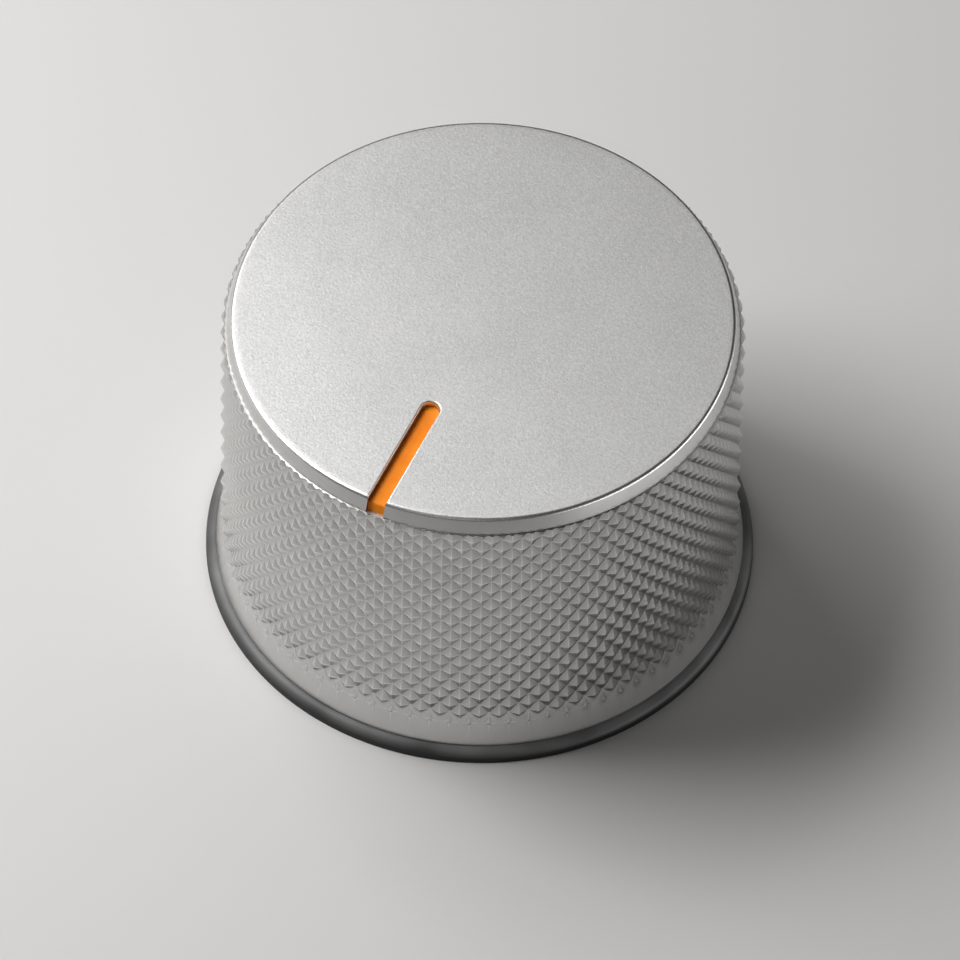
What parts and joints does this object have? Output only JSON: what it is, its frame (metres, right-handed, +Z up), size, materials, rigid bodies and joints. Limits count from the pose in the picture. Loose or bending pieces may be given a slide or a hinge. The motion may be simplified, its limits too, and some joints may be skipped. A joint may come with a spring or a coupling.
{
  "type": "control knob",
  "caption": "Round control knob with a diamond-knurled metal grip, an inlaid pointer line, a black ring round its foot and a socket that pushes onto a flatted shaft.",
  "frame": {"origin": "middle of the underside of the flange, on the panel", "axes": "+Z up along the shaft's axis, towards the top face; the pointer lies along -Y; +X is to its right, seen from the front"},
  "size_m": [0.038, 0.038, 0.0253],
  "materials": {
    "blasted_aluminium": "bead-blasted and clear-anodised, with a bright-cut rim",
    "orange_plastic": "satin orange plastic",
    "black_plastic": "satin black moulded plastic",
    "brass": "turned",
    "spring_steel": "plain rolled strip"
  },
  "bodies": {
    "root": {"knob_cap": "blasted_aluminium", "pointer_inlay": "orange_plastic", "inner_hub": "black_plastic", "shaft_bush": "brass", "shaft_spring": "spring_steel"}
  },
  "joints": []
}
